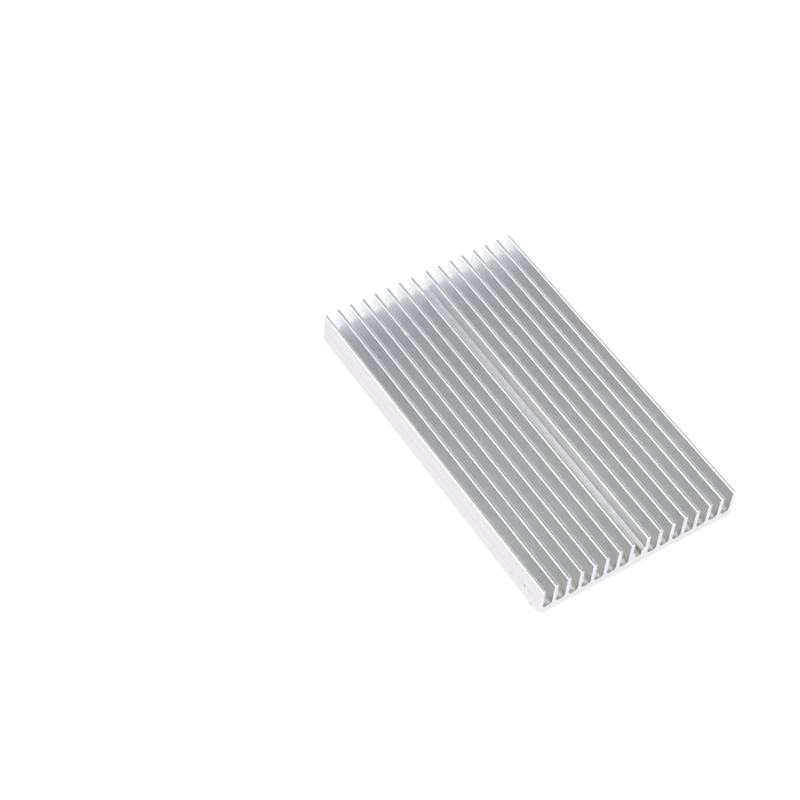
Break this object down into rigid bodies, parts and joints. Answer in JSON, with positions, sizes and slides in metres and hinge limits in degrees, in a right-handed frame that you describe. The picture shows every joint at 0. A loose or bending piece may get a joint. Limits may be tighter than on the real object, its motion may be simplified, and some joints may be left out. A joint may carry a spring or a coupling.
{
  "type": "extruded heat sink",
  "caption": "Flat extruded aluminium heat sink: a thin base plate with straight parallel fins, split along the centre by a wider channel with a screw slot.",
  "frame": {"origin": "centre of the flat underside", "axes": "+Y along the fins in the direction of extrusion, +Z from the underside up to the fin tips, +X across the fins"},
  "size_m": [0.06, 0.102, 0.0098],
  "materials": {
    "mill_aluminium": "satin"
  },
  "bodies": {
    "root": {"heat_sink": "mill_aluminium"}
  },
  "joints": []
}
